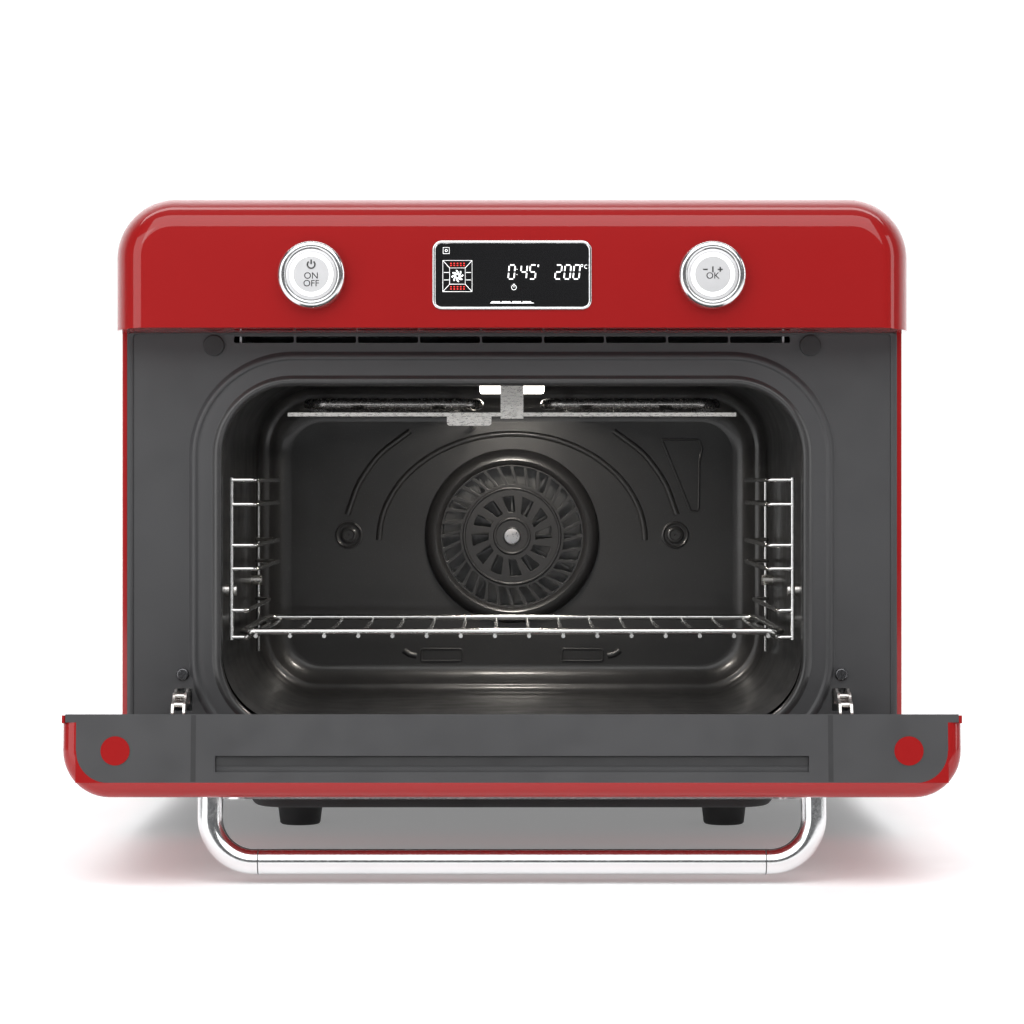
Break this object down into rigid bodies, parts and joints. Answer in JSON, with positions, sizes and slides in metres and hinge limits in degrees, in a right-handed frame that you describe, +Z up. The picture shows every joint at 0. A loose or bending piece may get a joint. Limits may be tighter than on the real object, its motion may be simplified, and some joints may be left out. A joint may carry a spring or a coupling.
{
  "type": "toaster oven",
  "caption": "Countertop convection oven: rounded red casing, drop-down door shown open, wire shelf on side racks, touch display between two dial buttons.",
  "frame": {"origin": "on the worktop, under the middle of the open oven's box", "axes": "+Z up, front towards -Y, +X to the right seen from the front"},
  "size_m": [0.495, 0.6212, 0.4],
  "materials": {
    "red_enamel": "gloss",
    "dark_frame": "satin",
    "cavity_enamel": "satin enamel with fine speckle",
    "back_paint": "fine textured powder coat",
    "polished_chrome": "polished",
    "satin_cap": "satin",
    "rack_wire": "polished",
    "bright_steel": "bright sheet",
    "zinc_sheet": "plain sheet",
    "element_metal": "dark satin tube",
    "screw_steel": "plain",
    "black_screw": "black oxide",
    "motor_metal": "plain",
    "black_glass": "gloss black",
    "door_glass": "clear tempered",
    "smoked_glass": "smoked tempered",
    "lamp_glass": "frosted, lit",
    "white_glow": "translucent, lit",
    "black_rubber": "matt",
    "dark_plastic": "fine texture",
    "circuit_board": "solder mask",
    "mineral_wool": "felted"
  },
  "bodies": {
    "oven_body": {"back_cover": "back_paint", "back_screws": "screw_steel", "base_pan": "back_paint", "base_plate": "back_paint", "blower_housing": "zinc_sheet", "blower_motor": "motor_metal", "cavity_back_panel": "cavity_enamel", "cavity_liner": "cavity_enamel", "cavity_seal": "black_rubber", "control_encoders": "dark_plastic", "control_panel_shell": "red_enamel", "display_bezel": "polished_chrome", "display_board": "circuit_board", "display_glass": "black_glass", "element_bracket": "bright_steel", "element_support_bar": "bright_steel", "fan_cover": "cavity_enamel", "fan_housing": "zinc_sheet", "fan_motor": "motor_metal", "feet": "black_rubber", "frame_bumpers": "black_rubber", "frame_screws": "black_screw", "front_frame": "dark_frame", "hinge_brackets": "zinc_sheet", "hinge_housings": "zinc_sheet", "insulation_wrap": "mineral_wool", "lamp_bulb": "lamp_glass", "lamp_housing": "zinc_sheet", "lamp_lens": "lamp_glass", "lower_element": "element_metal", "outer_shell": "red_enamel", "power_board": "circuit_board", "power_inlet": "dark_plastic", "rack_fixings": "bright_steel", "side_rack_left": "rack_wire", "side_rack_right": "rack_wire", "temperature_probe": "bright_steel", "upper_element": "element_metal", "vent_grille": "dark_frame"},
    "door": {"door_outer_shell": "red_enamel", "door_inner_frame": "dark_frame", "door_end_plugs": "red_enamel", "door_inner_glass": "door_glass", "glass_clamps": "zinc_sheet", "outer_glass_trim": "polished_chrome", "door_outer_glass": "smoked_glass", "door_handle": "polished_chrome", "handle_screws": "screw_steel", "hinge_arms": "bright_steel", "hinge_pins": "zinc_sheet"},
    "shelf": {"wire_shelf": "rack_wire"},
    "fan_wheel": {"convection_fan": "bright_steel"},
    "cooling_wheel": {"blower_wheel": "dark_plastic"},
    "left_dial": {"left_dial_ring": "polished_chrome"},
    "right_dial": {"right_dial_ring": "polished_chrome"},
    "left_button": {"left_push_cap": "satin_cap", "left_glow_ring": "white_glow"},
    "right_button": {"right_push_cap": "satin_cap", "right_glow_ring": "white_glow"}
  },
  "joints": [
    {"name": "door_hinge", "type": "hinge", "parent": "oven_body", "child": "door", "pos_m": [0, -0.0554, 0.061], "axis": [1, 0, 0], "range_deg": [-84.5, 0]},
    {"name": "shelf_slide", "type": "slide", "parent": "oven_body", "child": "shelf", "axis": [0, -1, 0], "range_m": [0, 0.15]},
    {"name": "fan_spin", "type": "hinge", "parent": "oven_body", "child": "fan_wheel", "pos_m": [0, 0.2666, 0.1836], "axis": [0, 1, 0], "continuous": true},
    {"name": "cooling_spin", "type": "hinge", "parent": "oven_body", "child": "cooling_wheel", "pos_m": [0, 0.1406, 0.33], "axis": [0, 0, 1], "continuous": true},
    {"name": "left_dial_turn", "type": "hinge", "parent": "oven_body", "child": "left_dial", "pos_m": [-0.1232, -0.0909, 0.3502], "axis": [0, 1, 0], "continuous": true},
    {"name": "left_button_press", "type": "slide", "parent": "oven_body", "child": "left_button", "axis": [0, 1, 0], "range_m": [0, 0.0012], "stiffness_N_per_m": 400, "springref_m": -0.001},
    {"name": "right_dial_turn", "type": "hinge", "parent": "oven_body", "child": "right_dial", "pos_m": [0.1232, -0.0909, 0.3502], "axis": [0, 1, 0], "continuous": true},
    {"name": "right_button_press", "type": "slide", "parent": "oven_body", "child": "right_button", "axis": [0, 1, 0], "range_m": [0, 0.0012], "stiffness_N_per_m": 400, "springref_m": -0.001}
  ]
}
